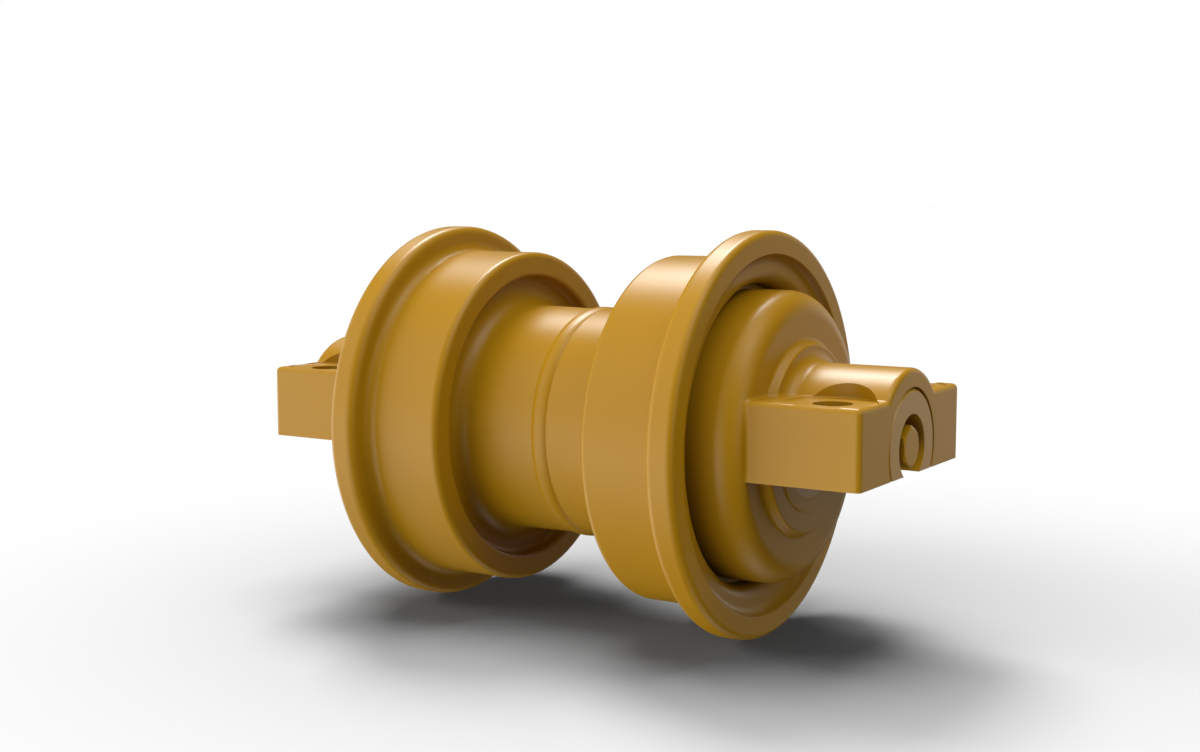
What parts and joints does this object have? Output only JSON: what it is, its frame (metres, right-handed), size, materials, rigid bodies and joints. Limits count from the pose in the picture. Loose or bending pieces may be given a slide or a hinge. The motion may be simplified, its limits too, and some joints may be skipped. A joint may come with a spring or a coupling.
{
  "type": "track roller",
  "caption": "Single flange track roller: waisted shell, welded from two halves with flanged treads, turning on a fixed shaft, held by end collars with a flat bolting face.",
  "frame": {"origin": "on the roller's axis, halfway between its two ends", "axes": "+Y along the roller's axis, away from the end with the oil plug; +Z away from the flat mounting faces, square to them; +X level"},
  "size_m": [0.24, 0.4096, 0.24],
  "materials": {
    "shell_paint": "satin ochre paint on forged steel",
    "collar_paint": "satin ochre paint on cast steel",
    "shaft_paint": "satin ochre paint on the ends, ground steel inside",
    "plug_paint": "satin ochre paint on a steel screw",
    "washer_copper": "soft copper",
    "bush_bronze": "turned bronze lining",
    "pin_steel": "ground steel",
    "lapped_steel": "lapped and turned alloy steel",
    "ring_rubber": "matt black rubber",
    "toric_rubber": "matt black rubber"
  },
  "bodies": {
    "axle": {"shaft": "shaft_paint", "oil_plug": "plug_paint", "plug_washer": "washer_copper", "front_collar": "collar_paint", "rear_collar": "collar_paint", "front_lock_pin": "pin_steel", "rear_lock_pin": "pin_steel", "front_shaft_o_ring": "ring_rubber", "rear_shaft_o_ring": "ring_rubber", "front_fixed_toric": "toric_rubber", "rear_fixed_toric": "toric_rubber", "front_fixed_seal_ring": "lapped_steel", "rear_fixed_seal_ring": "lapped_steel"},
    "roller": {"front_shell_half": "shell_paint", "rear_shell_half": "shell_paint", "weld_bead": "shell_paint", "front_bushing": "bush_bronze", "rear_bushing": "bush_bronze", "front_rotating_toric": "toric_rubber", "rear_rotating_toric": "toric_rubber", "front_rotating_seal_ring": "lapped_steel", "rear_rotating_seal_ring": "lapped_steel"}
  },
  "joints": [
    {"name": "roller_spin", "type": "hinge", "parent": "axle", "child": "roller", "pos_m": [0, 0, 0], "axis": [0, 1, 0], "continuous": true}
  ]
}
